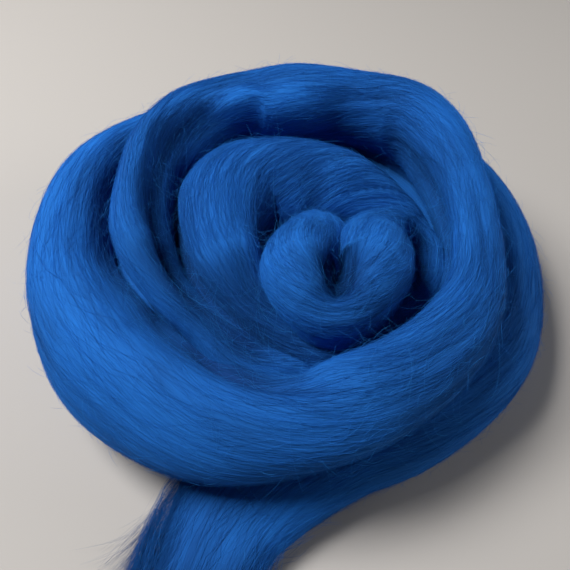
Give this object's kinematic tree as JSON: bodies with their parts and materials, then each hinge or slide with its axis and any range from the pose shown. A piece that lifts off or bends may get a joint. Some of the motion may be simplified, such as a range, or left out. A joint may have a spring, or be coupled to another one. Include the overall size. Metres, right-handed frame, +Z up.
{
  "type": "wool roving",
  "caption": "Nest of combed wool roving: a thick, soft rope of fibre wound in a loose spiral, with its outer end trailing off over the table as a feathered wisp.",
  "frame": {"origin": "centre of the nest's flat foot, where it rests on the table", "axes": "+Z up out of the nest; +Y along the longest extent, from the loose end's tips at -Y to the back of the nest at +Y"},
  "size_m": [0.2258, 0.3031, 0.0784],
  "materials": {
    "roving": "combed wool fibre, dyed blue, soft with a faint sheen along the fibres"
  },
  "bodies": {
    "root": {"wound_roving": "roving", "loose_end": "roving"}
  },
  "joints": []
}
